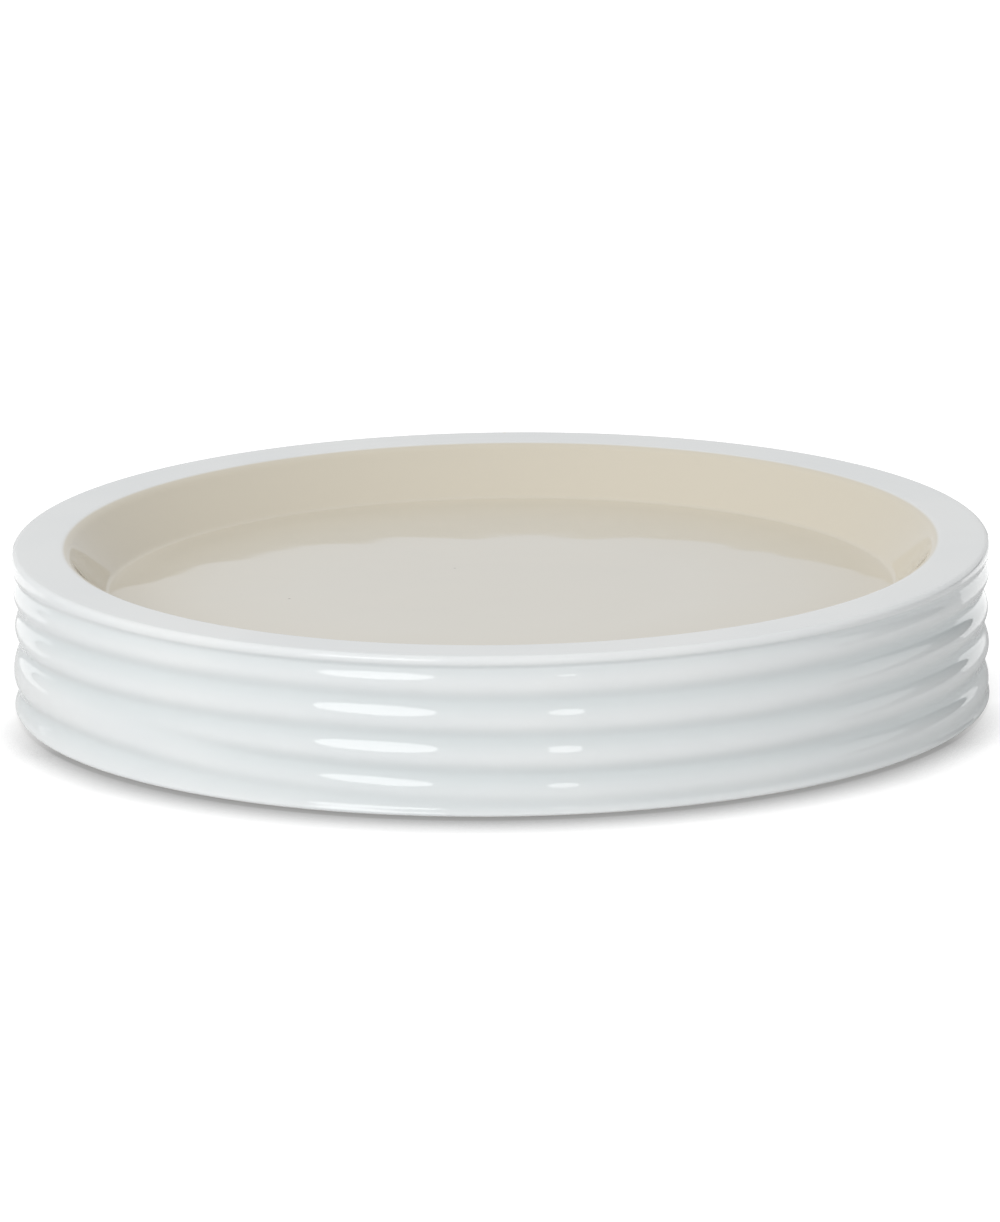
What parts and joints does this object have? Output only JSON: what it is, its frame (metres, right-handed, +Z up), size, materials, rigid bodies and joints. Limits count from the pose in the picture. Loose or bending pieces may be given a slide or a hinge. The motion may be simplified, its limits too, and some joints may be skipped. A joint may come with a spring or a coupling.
{
  "type": "soap dish",
  "caption": "Round white glazed stoneware soap dish: thick flat lip, shallow hollow, wall with wandering throwing rings, and a ring foot on clear anti-slip pads.",
  "frame": {"origin": "middle of the dish on the surface that it stands on, level with the undersides of the pads", "axes": "+Z up through the middle of the dish, the front of the dish towards -Y, +X to its right"},
  "size_m": [0.13, 0.13, 0.0218],
  "materials": {
    "white_glaze": "clear gloss glaze over white stoneware, foot ring wiped bare",
    "clear_pad": "clear soft polyurethane, satin"
  },
  "bodies": {
    "root": {"dish_body": "white_glaze", "pad_front_left": "clear_pad", "pad_front_right": "clear_pad", "pad_back_left": "clear_pad", "pad_back_right": "clear_pad"}
  },
  "joints": []
}
